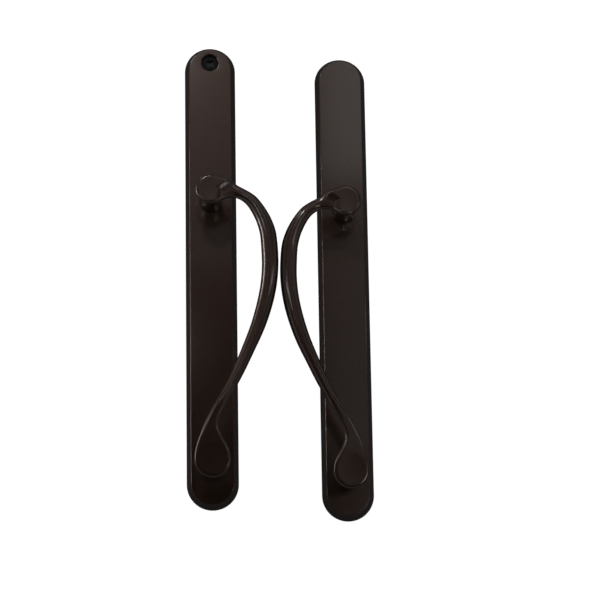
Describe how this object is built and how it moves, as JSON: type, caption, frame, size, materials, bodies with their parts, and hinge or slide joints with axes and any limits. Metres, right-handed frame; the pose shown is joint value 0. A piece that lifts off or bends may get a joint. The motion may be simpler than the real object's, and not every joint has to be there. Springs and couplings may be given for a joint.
{
  "type": "offset pull handle pair",
  "caption": "Mirror-image pair of bowed pull handles on long round-ended bronze plates for a patio door, with a recessed lock hub in one plate.",
  "frame": {"origin": "centre of the pair's bounding box in X and Y, on the plane of the plates' backs (the door's surface)", "axes": "+X across the pair from the left unit to the right one, +Y along the plates towards the lock end, +Z out of the door through the plates' faces"},
  "size_m": [0.1358, 0.359, 0.048],
  "materials": {
    "bronze_paint": "satin powder coat on zinc casting",
    "zinc_plated_steel": "zinc plated, dull",
    "foam": "closed-cell foam",
    "black_nylon": "moulded, matt",
    "brass": "turned",
    "blackened_steel": "phosphated, oiled"
  },
  "bodies": {
    "left_unit": {"left_cover": "bronze_paint", "left_back_plate": "zinc_plated_steel", "left_gasket": "foam", "left_pull": "bronze_paint", "left_post_washers": "black_nylon", "left_pull_screws": "zinc_plated_steel", "left_cover_screws": "zinc_plated_steel", "left_fixings": "brass", "hub_bush": "black_nylon", "hub_spring_washer": "blackened_steel"},
    "hub": {"lock_hub": "blackened_steel", "hub_snap_ring": "blackened_steel"},
    "right_unit": {"right_cover": "bronze_paint", "right_back_plate": "zinc_plated_steel", "right_gasket": "foam", "right_pull": "bronze_paint", "right_post_washers": "black_nylon", "right_pull_screws": "zinc_plated_steel", "right_cover_screws": "zinc_plated_steel", "right_fixings": "brass"}
  },
  "joints": [
    {"name": "hub_turn", "type": "hinge", "parent": "left_unit", "child": "hub", "pos_m": [-0.0489, 0.1657, 0.0035], "axis": [0, 0, 1], "range_deg": [0, 90]},
    {"name": "right_unit_lift", "type": "slide", "parent": "left_unit", "child": "right_unit", "axis": [0, 0, 1], "range_m": [0, 0.12]}
  ]
}
